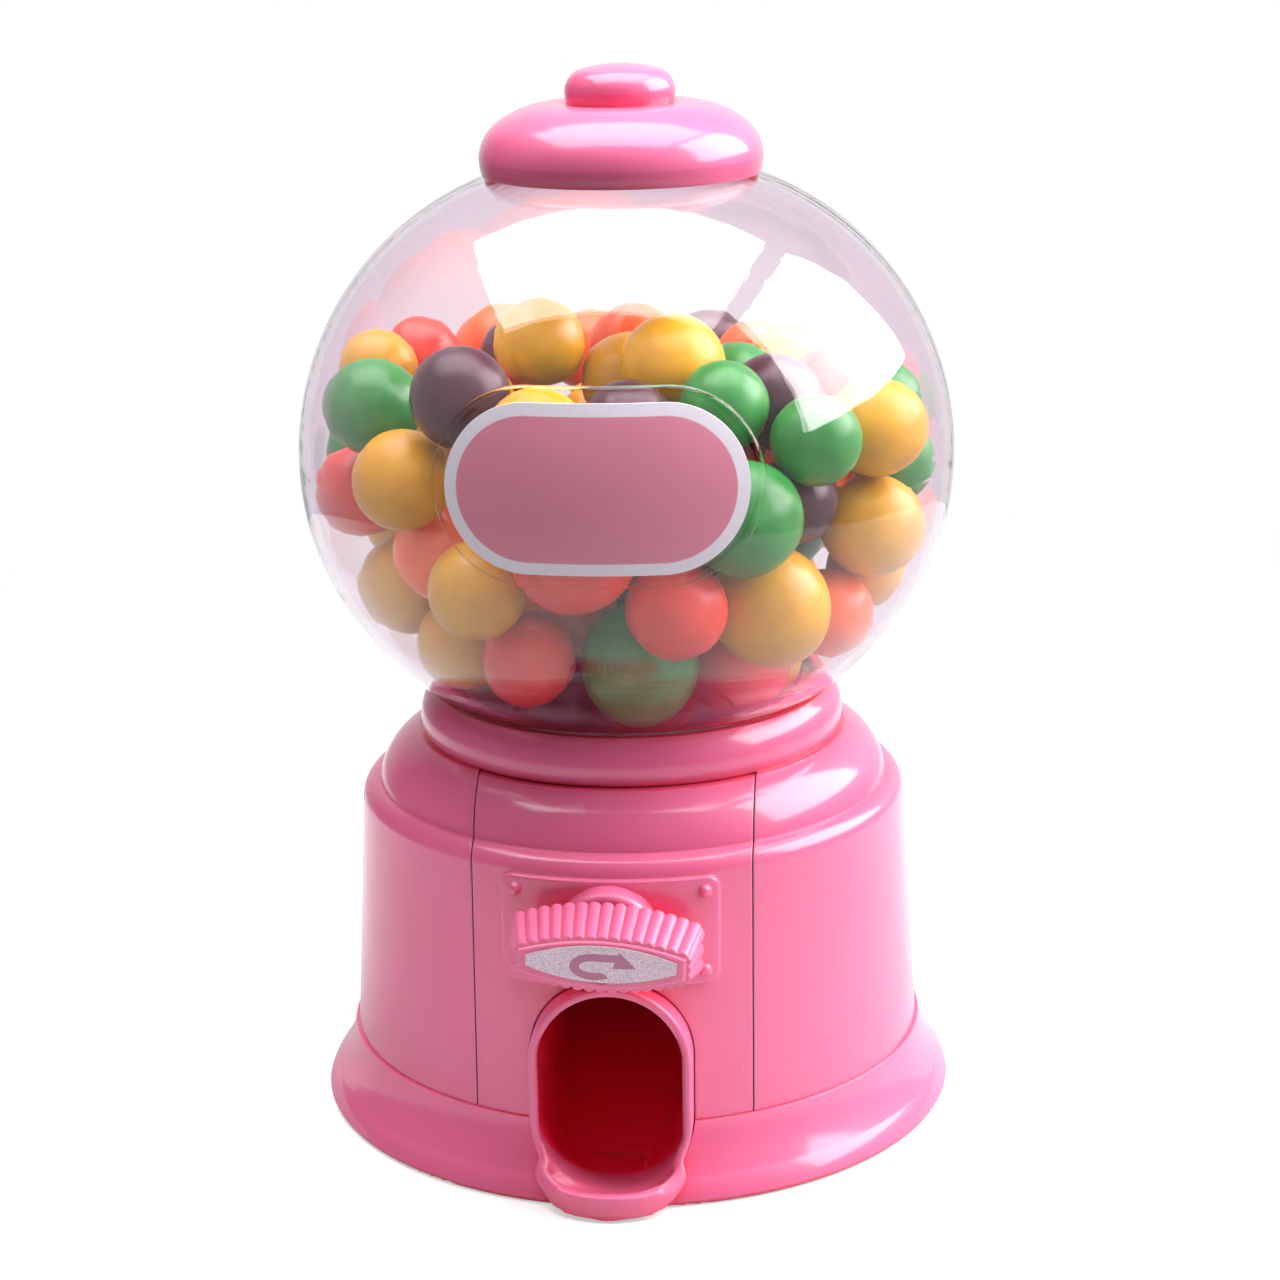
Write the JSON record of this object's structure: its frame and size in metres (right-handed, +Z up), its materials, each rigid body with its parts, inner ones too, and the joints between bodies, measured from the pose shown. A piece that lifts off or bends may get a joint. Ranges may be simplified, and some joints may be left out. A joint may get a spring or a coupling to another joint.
{
  "type": "toy gumball machine",
  "caption": "Small toy gumball machine: clear globe of gumballs with a push-in lid on a drafted round body, with a ribbed turning dial, a ball drum and a scoop chute in front.",
  "frame": {"origin": "centre of the standing face, on the globe's axis", "axes": "+Z up, -Y to the front where the dial and the chute are, +X to the right of someone who faces the front"},
  "size_m": [0.0868, 0.0918, 0.14],
  "materials": {
    "pink_plastic": "glossy moulded",
    "inner_plastic": "plain moulded",
    "clear_plastic": "clear polished",
    "label_paper": "satin print with a pale border",
    "silver_film": "silvery grained film",
    "screw_steel": "zinc plated",
    "red_candy": "satin sugar shell",
    "orange_candy": "satin sugar shell",
    "yellow_candy": "satin sugar shell",
    "green_candy": "satin sugar shell",
    "purple_candy": "satin sugar shell"
  },
  "bodies": {
    "housing": {"base_skirt": "pink_plastic", "bottom_cover": "pink_plastic", "cover_screws": "screw_steel", "body_shell": "pink_plastic", "front_panel": "pink_plastic", "chute": "pink_plastic", "chute_screws": "screw_steel", "hopper": "inner_plastic", "drum_housing": "inner_plastic", "housing_screws": "screw_steel", "globe": "clear_plastic", "globe_label": "label_paper", "gumballs_red": "red_candy", "gumballs_orange": "orange_candy", "gumballs_yellow": "yellow_candy", "gumballs_green": "green_candy", "gumballs_purple": "purple_candy"},
    "dial": {"dial_knob": "pink_plastic", "dial_screw": "screw_steel", "dial_sticker": "silver_film", "dispensing_drum": "inner_plastic"},
    "lid": {"lid": "pink_plastic"}
  },
  "joints": [
    {"name": "dial_turn", "type": "hinge", "parent": "housing", "child": "dial", "pos_m": [0, -0.0413, 0.0354], "axis": [0, 1, 0], "continuous": true},
    {"name": "lid_lift", "type": "slide", "parent": "housing", "child": "lid", "axis": [0, 0, 1], "range_m": [0, 0.04]}
  ]
}
